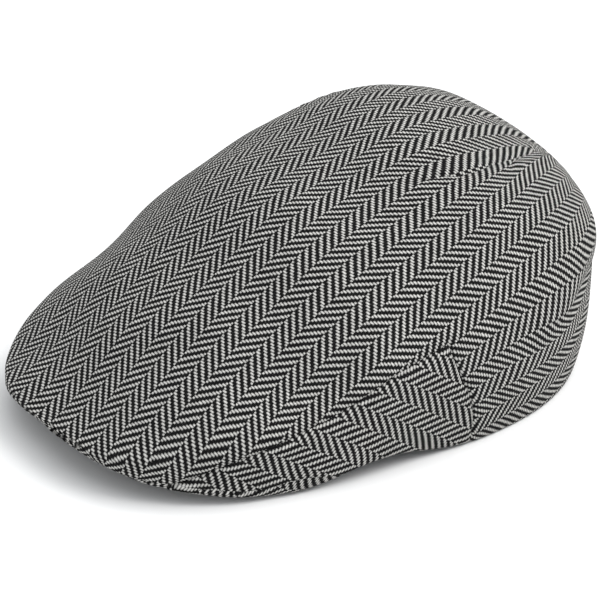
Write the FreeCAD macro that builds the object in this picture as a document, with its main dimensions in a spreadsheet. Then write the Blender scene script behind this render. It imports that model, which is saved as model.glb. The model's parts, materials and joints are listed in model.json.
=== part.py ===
import FreeCAD, Part
import math
import os

# A flat cap with a one-piece crown that runs over the brim to its edge, and a
# crescent gusset on each side.  Front is -Y, the wearer's left is +X, up is +Z.
# The origin is the middle of the head opening, and z = 0 is the plane that the
# rolled hem rests on.  All lengths are in millimetres.

DIMENSIONS = [
    ("head_half_width", 85.4, "head opening, across, at the rolled hem"),
    ("head_half_length", 102.5, "head opening, fore and aft, at the rolled hem"),
    ("head_power", 2.3, "squareness of the head opening's outline"),
    ("crown_half_width", 88.0, "widest place of the crown"),
    ("brim_reach", 146.8, "from the middle of the opening to the brim's edge"),
    ("brim_power", 2.65, "squareness of the brim's outline"),
    ("crown_rear", 108.9, "from the middle of the opening to the rear bulge"),
    ("rear_power", 2.3, "squareness of the rear outline at the bulge"),
    ("rear_top_power", 3.3, "squareness of the rear outline near the top"),
    ("crown_middle", 25.0, "how far behind the origin the crown is flattest"),
    ("brim_arch", 13.9, "rise of the brim's edge at its middle"),
    ("arch_half_width", 82.0, "half width of that rise"),
    ("horn_lift", 8.0, "rise of the hem beside each end of the brim"),
    ("horn_place", -44.0, "how far forward that rise is"),
    ("horn_spread", 28.0, "length of that rise"),
    ("side_bulge", 21.4, "height of the widest place at the sides"),
    ("rear_bulge", 51.0, "height of the furthest place at the rear"),
    ("edge_roll", 2.5, "height of the roll round the brim's edge"),
    ("edge_tuck", 2.0, "how far that roll turns under"),
    ("hem_flat", 0.3, "how much the resting hem is pressed flat"),
    ("side_power", 3.5, "fullness of the crown at the sides"),
    ("back_power", 2.4, "fullness of the crown at the rear"),
    ("front_power", 8.0, "fullness of the crown over the brim"),
    ("cloth", 1.4, "thickness of the crown cloth"),
    ("seam_gap", 0.3, "width of the groove along the gusset seam"),
    ("interlining_depth", 2.0, "from the outer face to the interlining"),
    ("interlining", 0.6, "thickness of the interlining"),
    ("brim_tilt", 0.15, "rise of the brim per millimetre behind its edge"),
    ("board", 1.2, "thickness of the brim board"),
    ("board_inset", 5.0, "board's edge behind the brim's edge"),
    ("board_lift", 1.5, "board above the brim's lower face"),
    ("under_cover", 1.0, "thickness of the cloth under the brim"),
    ("under_inset", 2.4, "under cover's edge behind the brim's edge"),
    ("tape_inset", 0.3, "seam tape inside the hem"),
    ("tape", 0.8, "thickness of the seam tape"),
    ("tape_width", 10.0, "width of the seam tape"),
    ("band_inset", 1.7, "sweatband inside the hem"),
    ("band", 1.2, "thickness of the sweatband"),
    ("band_width", 28.0, "width of the sweatband"),
    ("lining_inset", 0.5, "lining inside the hem"),
    ("lining", 0.5, "thickness of the lining"),
    ("lining_start", 14.0, "lining's lower edge above the hem"),
    ("lining_wall", 14.0, "upright part of the lining's side"),
    ("lining_drop", 6.0, "lining below the crown at the top"),
    ("lining_power", 2.8, "fullness of the lining"),
    ("lining_tip", 0.72, "size of the lining's top panel in its plan"),
    ("maker_half_width", 30.0, "blank label on the lining, half width"),
    ("maker_half_length", 17.0, "blank label on the lining, half length"),
    ("maker_label", 0.5, "thickness of that label"),
    ("care_width", 20.0, "width of the hanging label"),
    ("care_length", 32.0, "length of the hanging label"),
    ("care_label", 0.4, "thickness of the hanging label"),
    ("care_top", 40.0, "height of its sewn edge"),
    ("care_bead", 0.5, "radius of the rolled fold at its sewn edge, which it hinges on"),
    ("size_width", 14.0, "width of the folded size tab"),
    ("size_height", 12.0, "height of the folded size tab"),
    ("size_tab", 0.8, "thickness of the folded size tab"),
    ("thread", 0.5, "diameter of the sewing thread"),
    ("stitch_pitch", 3.4, "from one stitch to the next"),
    ("stitch_length", 2.4, "visible length of a stitch"),
    ("stitch_depth", 1.7, "seam threads' depth under the outer face"),
]

# Heights of the crown along its middle and along its side, at these places
# from front to rear.  Middle heights are above the brim's arch.
STATIONS = [-147, -128, -100, -70, -35, 10, 60, 109]
MIDDLE_HEIGHTS = [3, 17, 43, 64, 88, 111, 110, 93]
SIDE_HEIGHTS = [1, 12, 22, 30, 55, 75, 74, 66]

# Gusset seam in side view, as (y, z): along the top, then down the rear end.
SEAM_TOP = [(-130, 3), (-122, 9), (-98, 20), (-65, 30), (-36, 42), (-8, 49)]
SEAM_REAR = [(-8, 49), (-3, 34), (3, 22), (5, 10), (4, -6)]

# Dart in plan, as (x, y), from its point forward on the crown to the rear.
DART = [(43, 8), (47, 27), (44, 46), (40, 62), (30, 84), (22, 120)]

AROUND = 48
UPWARD = [0.0, 0.06, 0.13, 0.21, 0.3, 0.4, 0.5, 0.6, 0.7, 0.8, 0.88, 0.94, 0.985]
ROLL = [0.0, 0.4, 0.7]

doc = FreeCAD.newDocument("flat_cap")
sheet = doc.addObject("Spreadsheet::Sheet", "sizes")
for row, (alias, value, note) in enumerate(DIMENSIONS, start=1):
    sheet.set("A%d" % row, alias)
    sheet.set("B%d" % row, str(value))
    sheet.set("C%d" % row, note)
    sheet.setAlias("B%d" % row, alias)
doc.recompute()


def size(alias):
    return float(sheet.get(alias))


# ---- the form of the crown -------------------------------------------------

def smooth(value):
    """An S-curve from 0 to 1."""
    value = min(max(value, 0.0), 1.0)
    return value * value * (3 - 2 * value)


def through(heights, y):
    """A smooth profile through the heights at STATIONS."""
    last = len(STATIONS) - 1

    def slope(i):
        low = max(i - 1, 0)
        high = min(i + 1, last)
        return (heights[high] - heights[low]) / (STATIONS[high] - STATIONS[low])

    i = 0
    while i < last - 1 and y > STATIONS[i + 1]:
        i += 1
    span = STATIONS[i + 1] - STATIONS[i]
    part = min(max((y - STATIONS[i]) / span, 0.0), 1.0)
    start = (2 * part**3 - 3 * part**2 + 1) * heights[i]
    start += (part**3 - 2 * part**2 + part) * span * slope(i)
    end = (3 * part**2 - 2 * part**3) * heights[i + 1]
    end += (part**3 - part**2) * span * slope(i + 1)
    return start + end


def oval(angle, half_width, half_length, power):
    """Radius of a rounded outline in the direction of angle."""
    across = abs(math.cos(angle)) / half_width
    along = abs(math.sin(angle)) / half_length
    return (across**power + along**power) ** (-1 / power)


def outline(angle):
    """Radius of the crown at its widest level."""
    if math.sin(angle) > 0:
        return oval(angle, size("crown_half_width"), size("crown_rear"), size("rear_power"))
    return oval(angle, size("crown_half_width"), size("brim_reach"), size("brim_power"))


def head_outline(angle):
    """Radius of the head opening at the hem."""
    return oval(angle, size("head_half_width"), size("head_half_length"), size("head_power"))


def hem_outline(angle):
    """Radius of the lower edge: the head opening behind, the brim's edge in front."""
    ahead = smooth((-math.sin(angle) - 0.15) / 0.3)
    edge = outline(angle) - size("edge_tuck")
    return head_outline(angle) * (1 - ahead) + edge * ahead


def arch(x, y):
    """Rise of the lower edge across the brim."""
    across = max(1 - (x / size("arch_half_width")) ** 2, 0.0)
    return size("brim_arch") * across * smooth(-y / 60)


def hem_height(x, y):
    """Height of the lower edge, which also rises beside the brim's ends."""
    lift = math.exp(-(((y - size("horn_place")) / size("horn_spread")) ** 2))
    side = (x / math.hypot(x, y)) ** 2
    return arch(x, y) + size("horn_lift") * lift * side - size("hem_flat")


def top_height(x, y):
    """Height of the crown's top over a place in plan."""
    middle = through(MIDDLE_HEIGHTS, y)
    side = through(SIDE_HEIGHTS, y)
    return middle - (middle - side) * (x / size("crown_half_width")) ** 2 + arch(x, y)


def blends(angle):
    """How much a direction belongs to the back and to the front."""
    back = smooth(math.sin(angle))
    front = smooth((-outline(angle) * math.sin(angle) - 20) / 80)
    return back, front


def bulge_height(angle):
    back, front = blends(angle)
    behind = size("side_bulge") + (size("rear_bulge") - size("side_bulge")) * back
    return behind * (1 - front) + size("edge_roll") * front


def outer_point(angle, level):
    """Point of the outer face.  Level runs 0 to 1 round the hem, 1 to 2 to the top."""
    radius = outline(angle)
    across = math.cos(angle)
    along = math.sin(angle)
    base = hem_height(radius * across, radius * along)
    bulge = bulge_height(angle)
    if level < 1:
        turn = (1 - level) * math.pi / 2
        tuck = max(radius - hem_outline(angle), 0.3)
        reach = radius - tuck * (1 - math.cos(turn))
        return FreeCAD.Vector(reach * across, reach * along, base + bulge * (1 - math.sin(turn)))
    back, front = blends(angle)
    power = size("side_power") + (size("back_power") - size("side_power")) * back
    power += (size("front_power") - power) * front
    inward = math.cos((level - 1) * math.pi / 2) ** 0.77
    rise = max(1 - inward**power, 0.0) ** (1 / power)
    if along > 0:
        squarer = oval(angle, size("crown_half_width"), size("crown_rear"), size("rear_top_power"))
        radius += (squarer - radius) * rise
    x = radius * across * inward
    y = radius * along * inward + size("crown_middle") * (1 - inward)
    start = base + bulge
    return FreeCAD.Vector(x, y, start + (top_height(x, y) - start) * rise)


def inner_point(angle, level, depth):
    """Point at a depth under the outer face, measured square to it."""
    here = outer_point(angle, level)
    if depth == 0:
        return here
    if level == 0:
        return here + FreeCAD.Vector(0, 0, depth)
    step = 0.01
    round_it = outer_point(angle + step, level) - outer_point(angle - step, level)
    up_it = outer_point(angle, level + step) - outer_point(angle, level - step)
    outward = round_it.cross(up_it)
    return here - outward.normalize() * depth


# ---- making solids from rings of points ------------------------------------

def angles():
    return [2 * math.pi * i / AROUND for i in range(AROUND)]


def closed_curve(points):
    curve = Part.BSplineCurve()
    curve.interpolate(Points=points, PeriodicFlag=True)
    return Part.Wire([curve.toShape()])


def level_ring(points):
    """The ring pressed flat at its mean height."""
    mean = sum(point.z for point in points) / len(points)
    return [FreeCAD.Vector(point.x, point.y, mean) for point in points]


def skin(rings):
    return Part.makeLoft([closed_curve(ring) for ring in rings], False, True)


def dome(outer_rings, inner_rings):
    """A thick dome between two sets of rings that run from the rim to the top."""
    rings = [level_ring(inner_rings[-1])] + inner_rings[-2::-1]
    rings += outer_rings[:-1] + [level_ring(outer_rings[-1])]
    return Part.makeLoft([closed_curve(ring) for ring in rings], True, True)


def hoop(rings):
    """A closed band: each ring is one corner of its section, in order."""
    faces = []
    for start, end in zip(rings, rings[1:] + rings[:1]):
        faces += Part.makeRuledSurface(closed_curve(start).Edges[0], closed_curve(end).Edges[0]).Faces
    shell = Part.Shell(faces)
    shell.sewShape()
    solid = Part.Solid(Part.Shell(shell.Faces))
    if solid.Volume < 0:
        solid.reverse()
    return solid


def crown_rings(depth, levels):
    return [[inner_point(angle, level, depth) for angle in angles()] for level in levels]


def feature(name, shape):
    """A document object with this shape and a Placement of its own."""
    made = doc.addObject("Part::Feature", name)
    made.Label = name
    made.Shape = shape
    made.Placement = FreeCAD.Placement()
    return made


# ---- crown and gussets -----------------------------------------------------

def plane(body, role):
    for item in body.Origin.OriginFeatures:
        if item.Role == role:
            return item


def sketch_in(body, role, name):
    made = body.newObject("Sketcher::SketchObject", name)
    made.AttachmentSupport = [(plane(body, role), "")]
    made.MapMode = "FlatFace"
    return made


def spline(points):
    curve = Part.BSplineCurve()
    curve.interpolate([FreeCAD.Vector(x, y, 0) for x, y in points])
    return curve


def gusset_prism(name, grow, side):
    """The side-view outline of the gusset, as a solid that crosses one side of the cap."""
    top = [(y, z + grow) for y, z in SEAM_TOP]
    rear = [(y + grow, z) for y, z in SEAM_REAR]
    top[-1] = rear[0] = (SEAM_TOP[-1][0] + grow, SEAM_TOP[-1][1] + grow)
    body = doc.addObject("PartDesign::Body", name)
    outline_sketch = sketch_in(body, "YZ_Plane", name + "_outline")
    low_front = FreeCAD.Vector(top[0][0], rear[-1][1], 0)
    outline_sketch.addGeometry(spline(top))
    outline_sketch.addGeometry(spline(rear))
    outline_sketch.addGeometry(Part.LineSegment(FreeCAD.Vector(*rear[-1], 0), low_front))
    outline_sketch.addGeometry(Part.LineSegment(low_front, FreeCAD.Vector(*top[0], 0)))
    pad = body.newObject("PartDesign::Pad", name + "_pad")
    pad.Profile = outline_sketch
    pad.setExpression("Length", "sizes.crown_half_width * 1.2")
    pad.Reversed = side < 0
    return body


def boolean(kind, name, base, tool):
    made = doc.addObject("Part::" + kind, name)
    made.Label = name
    made.Base = base
    made.Tool = tool
    return made


def make_crown():
    """Crown cloth as one dome, pressed flat where it rests, then parted at the gussets."""
    levels = ROLL + [1 + part for part in UPWARD]
    whole = feature("crown_form", dome(crown_rings(0, levels), crown_rings(size("cloth"), levels)))
    table = doc.addObject("Part::Box", "table")
    table.setExpression("Length", "sizes.brim_reach * 4")
    table.setExpression("Width", "sizes.brim_reach * 4")
    table.setExpression("Height", "sizes.side_bulge")
    table.setExpression("Placement.Base.x", "-sizes.brim_reach * 2")
    table.setExpression("Placement.Base.y", "-sizes.brim_reach * 2")
    table.setExpression("Placement.Base.z", "-sizes.side_bulge")
    rested = boolean("Cut", "crown_rested", whole, table)
    pieces = []
    for side, label in ((1, "left"), (-1, "right")):
        small = gusset_prism("gusset_outline_" + label, 0, side)
        large = gusset_prism("gusset_opening_" + label, size("seam_gap"), side)
        pieces.append(boolean("Common", "side_gusset_" + label, rested, small))
        remaining = boolean("Cut", "crown_less_" + label, rested if side > 0 else remaining, large)
    remaining.Label = "crown_panel"
    return [remaining] + pieces


def make_interlining():
    depth = size("interlining_depth")
    levels = [1 + part for part in UPWARD[4:]]
    inner = crown_rings(depth + size("interlining"), levels)
    return feature("crown_interlining", dome(crown_rings(depth, levels), inner))


# ---- brim ------------------------------------------------------------------

def brim_span():
    """Angles from one end of the brim to the other, where it is wide enough to sew."""
    start = math.radians(-26)
    end = math.radians(-154)
    count = 24
    return [start + (end - start) * i / count for i in range(count + 1)]


def brim_height(angle, radius):
    """Height of the brim's lower face, which rises behind the edge."""
    edge = outline(angle)
    base = hem_height(edge * math.cos(angle), edge * math.sin(angle))
    return base + size("brim_tilt") * (edge - radius)


def crescent(name, edge_inset, lift, thickness):
    """A sheet between the brim's edge and the head opening."""
    sections = []
    for angle in brim_span():
        corners = []
        far = outline(angle) - edge_inset
        near = min(head_outline(angle) + 0.4, far - 1.5)
        for radius, height in ((far, 0), (near, 0), (near, thickness), (far, thickness)):
            z = brim_height(angle, radius) + lift + height
            corners.append(FreeCAD.Vector(radius * math.cos(angle), radius * math.sin(angle), z))
        sections.append(Part.makePolygon(corners + corners[:1]))
    return feature(name, Part.makeLoft(sections, True, False))


def make_brim():
    board = crescent("brim_board", size("board_inset"), size("board_lift"), size("board"))
    cover = crescent("brim_under_cover", size("under_inset"), 0.1, size("under_cover"))
    return [board, cover]


# ---- head opening ----------------------------------------------------------

def opening_height(angle):
    """Height of the head opening's lower edge: the hem behind, the brim in front."""
    radius = head_outline(angle)
    behind = hem_height(radius * math.cos(angle), radius * math.sin(angle))
    ahead = smooth((-math.sin(angle) - 0.15) / 0.3)
    return behind * (1 - ahead) + brim_height(angle, radius) * ahead


def head_band(name, inset, thickness, low, high):
    """A cloth band that stands inside the head opening."""
    rings = []
    for depth, height in ((0, low), (thickness, low), (thickness, high), (0, high)):
        ring = []
        for angle in angles():
            radius = head_outline(angle) - inset - depth
            z = opening_height(angle) + height
            ring.append(FreeCAD.Vector(radius * math.cos(angle), radius * math.sin(angle), z))
        rings.append(ring)
    return feature(name, hoop(rings))


def make_bands():
    low = size("hem_flat") + 0.4
    tape = head_band("head_seam_tape", size("tape_inset"), size("tape"), low + 1, low + size("tape_width"))
    sweat = head_band("sweatband", size("band_inset"), size("band"), low, low + size("band_width"))
    return [tape, sweat]


# ---- lining ----------------------------------------------------------------

def lining_point(angle, inward, depth):
    """Point of the lining over the head; inward is 1 at the wall and 0 at the top."""
    wall = head_outline(angle) - size("lining_inset") - depth
    power = size("lining_power")
    rise = max(1 - inward**power, 0.0) ** (1 / power)
    x = wall * math.cos(angle) * inward
    y = wall * math.sin(angle) * inward + size("crown_middle") * (1 - inward)
    start = opening_height(angle) + size("lining_start") + size("lining_wall")
    drop = size("lining_drop") + depth
    return FreeCAD.Vector(x, y, start + (top_height(x, y) - drop - start) * rise)


def lining_rings(depth, parts):
    return [[lining_point(angle, part, depth) for angle in angles()] for part in parts]


def make_lining():
    """Two side pieces that meet at the front and the back, and a top panel."""
    thickness = size("lining")
    tip = size("lining_tip")
    tip_parts = [tip - 0.004, 0.6, 0.48, 0.36, 0.24, 0.12, 0.04]
    top = dome(lining_rings(0, tip_parts), lining_rings(thickness, tip_parts))
    wall_parts = [1.0, 0.995, 0.98, 0.95, 0.9, 0.82, tip]
    rings = []
    for depth in (0, thickness):
        drop = FreeCAD.Vector(0, 0, size("lining_wall"))
        low = [lining_point(angle, 1.0, depth) - drop for angle in angles()]
        wall = [low] + lining_rings(depth, wall_parts)
        rings += wall if depth == 0 else wall[::-1]
    ring = feature("lining_ring", hoop(rings))
    pieces = [feature("lining_top", top)]
    for side, label in ((1, "left"), (-1, "right")):
        half = doc.addObject("Part::Box", "lining_half_" + label)
        half.setExpression("Length", "sizes.crown_half_width * 2")
        half.setExpression("Width", "sizes.brim_reach * 2")
        half.setExpression("Height", "sizes.brim_reach")
        start = "0.1" if side > 0 else "-0.1 - sizes.crown_half_width * 2"
        half.setExpression("Placement.Base.x", start)
        half.setExpression("Placement.Base.y", "-sizes.brim_reach")
        pieces.append(boolean("Common", "lining_side_" + label, ring, half))
    return pieces


# ---- labels ----------------------------------------------------------------

def make_maker_label():
    """A blank woven label on the lining's top panel."""
    clear = size("lining") + 0.25
    parts = [0.6, 0.48, 0.36, 0.24, 0.12, 0.04]
    patch = dome(lining_rings(clear, parts), lining_rings(clear + size("maker_label"), parts))
    layer = feature("maker_layer", patch)
    frame = doc.addObject("Part::Box", "maker_frame")
    frame.setExpression("Length", "sizes.maker_half_width * 2")
    frame.setExpression("Width", "sizes.maker_half_length * 2")
    frame.setExpression("Height", "sizes.brim_reach")
    frame.setExpression("Placement.Base.x", "-sizes.maker_half_width")
    frame.setExpression("Placement.Base.y", "sizes.crown_middle - sizes.maker_half_length")
    return boolean("Common", "maker_label", layer, frame)


def stand_at(body, angle, depth, top, shift):
    """Place a body against the sweatband, its Y axis outward, shifted along the wall."""
    radius = head_outline(angle) - depth
    turn = outward_turn(angle) - math.pi / 2
    along = FreeCAD.Vector(math.cos(turn), math.sin(turn), 0)
    place = FreeCAD.Vector(radius * math.cos(angle), radius * math.sin(angle), top)
    turned = FreeCAD.Rotation(FreeCAD.Vector(0, 0, 1), math.degrees(turn))
    body.Placement = FreeCAD.Placement(place + along * shift, turned)


def make_size_tab():
    """The folded size tab, sewn to the sweatband at the middle of the back."""
    body = doc.addObject("PartDesign::Body", "size_label")
    face = sketch_in(body, "XZ_Plane", "size_label_face")
    half = size("size_width") / 2
    points = [FreeCAD.Vector(x * half, z * size("size_height"), 0)
              for x, z in ((-1, 0), (1, 0), (1, -1), (-1, -1))]
    for i in range(4):
        face.addGeometry(Part.LineSegment(points[i], points[(i + 1) % 4]))
    pad = body.newObject("PartDesign::Pad", "size_label_pad")
    pad.Profile = face
    pad.setExpression("Length", "sizes.size_tab")
    depth = size("band_inset") + size("band") + 1.1
    stand_at(body, math.pi / 2, depth, size("band_width") - 4, 0)
    return body


def make_care_label():
    """The hanging label: a thin strip under a rolled fold, which is its hinge."""
    body = doc.addObject("PartDesign::Body", "care_label")
    section = sketch_in(body, "YZ_Plane", "care_label_section")
    bead = size("care_bead")
    half = size("care_label") / 2
    neck = math.asin(half / bead)
    waist = -bead * math.cos(neck)
    circle = Part.Circle(FreeCAD.Vector(0, 0, 0), FreeCAD.Vector(0, 0, 1), bead)
    section.addGeometry(Part.ArcOfCircle(circle, neck - math.pi / 2, 3 * math.pi / 2 - neck))
    corners = [(-half, waist), (-half, -size("care_length")), (half, -size("care_length")), (half, waist)]
    points = [FreeCAD.Vector(y, z, 0) for y, z in corners]
    for start, end in zip(points[:-1], points[1:]):
        section.addGeometry(Part.LineSegment(start, end))
    pad = body.newObject("PartDesign::Pad", "care_label_pad")
    pad.Profile = section
    pad.setExpression("Length", "sizes.care_width")
    depth = size("band_inset") + size("band") + 1.7
    stand_at(body, math.radians(62), depth, size("care_top"), -size("care_width") / 2)
    return body


def outward_turn(angle):
    """Direction that the head opening's edge faces, in plan."""
    step = 0.01
    ahead = head_outline(angle + step)
    behind = head_outline(angle - step)
    across = ahead * math.cos(angle + step) - behind * math.cos(angle - step)
    along = ahead * math.sin(angle + step) - behind * math.sin(angle - step)
    return math.atan2(-across, along)


# ---- sewing ----------------------------------------------------------------

def stitches(path):
    """Short lengths of thread along an edge or wire."""
    radius = size("thread") / 2
    length = size("stitch_length")
    count = max(int(path.Length / size("stitch_pitch")), 2)
    points = path.discretize(Number=count + 1)
    threads = []
    for start, end in zip(points[:-1], points[1:]):
        along = end - start
        if along.Length > length:
            threads.append(Part.makeCylinder(radius, length, start, along))
    return threads


def seam_on_layer(depth, curtain):
    """Where an upright curtain crosses the layer at a depth under the crown."""
    levels = ROLL[1:] + [1 + part for part in UPWARD]
    layer = skin(crown_rings(depth, levels))
    return layer.section(curtain).Edges


def make_gusset_threads(side, label):
    threads = []
    for points in (SEAM_TOP[1:], SEAM_REAR[:-1]):
        curve = Part.BSplineCurve()
        curve.interpolate([FreeCAD.Vector(side * 30, y, z) for y, z in points])
        curtain = curve.toShape().extrude(FreeCAD.Vector(side * 75, 0, 0))
        for edge in seam_on_layer(size("stitch_depth"), curtain):
            threads += stitches(edge)
    return feature("gusset_thread_" + label, Part.Compound(threads))


def make_dart_threads(side, label):
    curve = Part.BSplineCurve()
    curve.interpolate([FreeCAD.Vector(side * x, y, 15) for x, y in DART])
    curtain = curve.toShape().extrude(FreeCAD.Vector(0, 0, 110))
    threads = []
    for edge in seam_on_layer(size("stitch_depth"), curtain):
        threads += stitches(edge)
    return feature("dart_thread_" + label, Part.Compound(threads))


def make_band_threads():
    """The row of stitches that holds the sweatband, seen on its inner face."""
    depth = size("band_inset") + size("band") + 0.05 + size("thread") / 2
    ring = []
    for angle in angles():
        radius = head_outline(angle) - depth
        z = opening_height(angle) + size("hem_flat") + 3
        ring.append(FreeCAD.Vector(radius * math.cos(angle), radius * math.sin(angle), z))
    return feature("sweatband_thread", Part.Compound(stitches(closed_curve(ring))))


def make_brim_threads():
    """The row of stitches under the brim, near its edge."""
    points = []
    for angle in brim_span():
        radius = outline(angle) - 5.5
        z = brim_height(angle, radius) - 0.45
        points.append(FreeCAD.Vector(radius * math.cos(angle), radius * math.sin(angle), z))
    curve = Part.BSplineCurve()
    curve.interpolate(points)
    return feature("brim_edge_thread", Part.Compound(stitches(curve.toShape())))


def make_threads():
    pieces = [make_band_threads(), make_brim_threads()]
    for side, label in ((1, "left"), (-1, "right")):
        pieces.append(make_gusset_threads(side, label))
        pieces.append(make_dart_threads(side, label))
    return pieces


# ---- the whole cap ---------------------------------------------------------

pieces = make_crown()
pieces.append(make_interlining())
pieces += make_brim()
pieces += make_bands()
pieces += make_lining()
pieces += [make_maker_label(), make_care_label(), make_size_tab()]
pieces += make_threads()
doc.recompute()

for item in doc.Objects:
    if "Invalid" in item.State or "Error" in item.State:
        raise RuntimeError("%s failed: %s" % (item.Label, item.State))
for piece in pieces:
    if piece.Shape.isNull() or not piece.Shape.isValid():
        raise RuntimeError("%s has no valid shape" % piece.Label)

os.makedirs("parts", exist_ok=True)
for piece in pieces:
    piece.Shape.exportStep("parts/%s.step" % piece.Label)
    box = piece.Shape.BoundBox
    print(piece.Label, len(piece.Shape.Solids), round(piece.Shape.Volume, 1),
          [round(v, 1) for v in (box.XMin, box.XMax, box.YMin, box.YMax, box.ZMin, box.ZMax)])
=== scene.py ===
import json
import math

import bmesh
import bpy
import numpy as np
from mathutils import Matrix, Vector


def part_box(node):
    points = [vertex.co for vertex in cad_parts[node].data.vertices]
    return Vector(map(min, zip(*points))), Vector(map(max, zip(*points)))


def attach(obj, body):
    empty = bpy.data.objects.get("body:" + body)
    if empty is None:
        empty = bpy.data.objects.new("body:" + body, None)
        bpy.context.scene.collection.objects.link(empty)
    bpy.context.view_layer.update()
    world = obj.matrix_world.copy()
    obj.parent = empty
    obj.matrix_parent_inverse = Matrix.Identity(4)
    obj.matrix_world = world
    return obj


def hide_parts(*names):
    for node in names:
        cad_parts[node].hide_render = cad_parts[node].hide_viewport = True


# A herringbone flat cap.  The form is worked out in millimetres, in the frame's
# own axes: front is -Y, the wearer's left is +X, up is +Z, and the rolled hem
# rests on z = 0.  Meshes are written in metres.

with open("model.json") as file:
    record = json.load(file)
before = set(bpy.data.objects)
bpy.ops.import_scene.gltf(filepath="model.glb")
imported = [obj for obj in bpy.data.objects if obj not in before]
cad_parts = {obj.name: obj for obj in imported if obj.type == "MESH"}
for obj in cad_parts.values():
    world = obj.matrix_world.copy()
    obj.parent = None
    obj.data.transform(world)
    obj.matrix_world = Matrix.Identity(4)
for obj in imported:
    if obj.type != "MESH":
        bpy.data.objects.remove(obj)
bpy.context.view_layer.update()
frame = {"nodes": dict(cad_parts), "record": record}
rng = np.random.default_rng(11)

MM = 0.001
LOW, HIGH = (np.array(corner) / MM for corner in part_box("crown_panel"))
HALF_WIDTH = HIGH[0]
BRIM_REACH = -LOW[1]
CROWN_REAR = HIGH[1]
CROWN_MIDDLE = 25.0
HEAD_HALF_WIDTH = 85.4
HEAD_HALF_LENGTH = 102.5
HEM_FLAT = 0.3
BRIM_ARCH = 13.9
ARCH_HALF_WIDTH = 82
BRIM_TILT = 0.15
EDGE_ROLL = 3.2
EDGE_TUCK = 2
HORN_LIFT = 8
HORN_PLACE = -44
HORN_SPREAD = 28
SIDE_BULGE = 21.4
REAR_BULGE = 51
SIDE_POWER = 3.5
BACK_POWER = 2.4
FRONT_POWER = 8
PLAN_POWER = 2.3
BRIM_POWER = 2.65
REAR_TOP_POWER = 3.3

# Heights of the crown along its middle and its side, at places from front to rear.
STATIONS = np.array([-BRIM_REACH, -128, -100, -70, -35, 10, 60, CROWN_REAR])
MIDDLE_HEIGHTS = np.array([3, 17, 43, 64, 88, 111, 110, 93.0])
SIDE_HEIGHTS = np.array([1, 12, 22, 30, 55, 75, 74, 66.0])
# Seams: the gusset's top as (y, z), its rear end as (z, y), and the dart as (y, x).
SEAM_TOP = np.array([(-136, -1), (-130, 3), (-122, 9), (-98, 20), (-65, 30), (-36, 42), (-8, 49), (10, 55)])
SEAM_REAR = np.array([(-6, 4), (10, 5), (22, 3), (34, -3), (49, -8), (60, -6)])
DART = np.array([(8, 43), (27, 47), (46, 44), (62, 40), (84, 30), (120, 22)])
DART_TIP_Y = 8
DART_TIP_X = 43
GUSSET_INNER_X = 30

CLOTH = 1.3
STITCH_PITCH = 3.4
STITCH_LENGTH = 2.4
LINING_INSET = 0.5
LINING_START = 28.0
LINING_DROP = 6.0
LINING_POWER = 2.8
LINING_TIP = 0.72
MAKER_HALF_WIDTH = 30
MAKER_HALF_LENGTH = 17
CARE_HALF_WIDTH = 10
CARE_LENGTH = 31.4
CARE_BEAD = 0.42

GRID = 240
HEM_ROWS = 12
ANGLE_STEP = 0.002
CLOSEST_ROWS = 0.25
UNROLL_STEPS = 900


# ---- the form ----

def smooth(value):
    """An S-curve from 0 to 1."""
    value = np.clip(value, 0, 1)
    return value * value * (3 - 2 * value)


def through(x, xs, ys):
    """A smooth profile through the points (xs, ys)."""
    slope = np.empty(len(xs))
    slope[1:-1] = (ys[2:] - ys[:-2]) / (xs[2:] - xs[:-2])
    slope[0] = (ys[1] - ys[0]) / (xs[1] - xs[0])
    slope[-1] = (ys[-1] - ys[-2]) / (xs[-1] - xs[-2])
    i = np.clip(np.searchsorted(xs, x, side="right") - 1, 0, len(xs) - 2)
    span = xs[i + 1] - xs[i]
    t = np.clip((x - xs[i]) / span, 0, 1)
    start = (2 * t**3 - 3 * t**2 + 1) * ys[i] + (t**3 - 2 * t**2 + t) * span * slope[i]
    return start + (3 * t**2 - 2 * t**3) * ys[i + 1] + (t**3 - t**2) * span * slope[i + 1]


def oval(angle, half_width, half_length, power):
    across = np.abs(np.cos(angle)) / half_width
    along = np.abs(np.sin(angle)) / half_length
    return (across**power + along**power) ** (-1 / power)


def outline(angle):
    """Radius of the cap at its widest level."""
    rear = oval(angle, HALF_WIDTH, CROWN_REAR, PLAN_POWER)
    front = oval(angle, HALF_WIDTH, BRIM_REACH, BRIM_POWER)
    return np.where(np.sin(angle) > 0, rear, front)


def round_at(radius, angle, z):
    """Places at this radius, angle and height."""
    return np.stack([radius * np.cos(angle), radius * np.sin(angle), z], -1)


def head(angle):
    """Radius of the head opening at the hem."""
    return oval(angle, HEAD_HALF_WIDTH, HEAD_HALF_LENGTH, PLAN_POWER)


def brim_share(angle):
    """1 where the brim is, 0 beside and behind the head."""
    return smooth((-np.sin(angle) - 0.15) / 0.3)


def arch(x, y):
    """Rise of the lower edge across the brim."""
    return BRIM_ARCH * np.clip(1 - (x / ARCH_HALF_WIDTH) ** 2, 0, None) * smooth(-y / 60)


def hem_height(x, y):
    """Height of the lower edge, which lifts beside each end of the brim."""
    lift = np.exp(-(((y - HORN_PLACE) / HORN_SPREAD) ** 2)) * (x / np.hypot(x, y)) ** 2
    return arch(x, y) + HORN_LIFT * lift - HEM_FLAT


def hem_round(radius, angle):
    return hem_height(radius * np.cos(angle), radius * np.sin(angle))


def top_height(x, y):
    middle = through(y, STATIONS, MIDDLE_HEIGHTS)
    side = through(y, STATIONS, SIDE_HEIGHTS)
    return middle - (middle - side) * (x / HALF_WIDTH) ** 2 + arch(x, y)


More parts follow.
